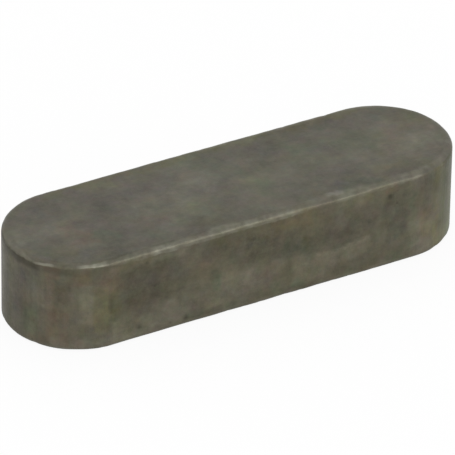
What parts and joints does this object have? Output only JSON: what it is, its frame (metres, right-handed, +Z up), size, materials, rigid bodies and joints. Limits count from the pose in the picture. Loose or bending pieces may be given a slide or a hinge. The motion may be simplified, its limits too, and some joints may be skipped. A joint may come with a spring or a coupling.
{
  "type": "parallel key",
  "caption": "Steel parallel key with full-radius round ends and broken edges, for locking a hub to a shaft.",
  "frame": {"origin": "middle of the bottom face, which is the face that seats on the floor of the shaft keyway", "axes": "+X along the key, which is also along the shaft; +Y across it towards one flank; +Z up from the shaft side to the hub side"},
  "size_m": [0.04, 0.012, 0.008],
  "materials": {
    "key_steel": "drawn key steel with milled ends, dull grey with a thin brown-green oxide film and lightly worn edges"
  },
  "bodies": {
    "root": {"parallel_key": "key_steel"}
  },
  "joints": []
}
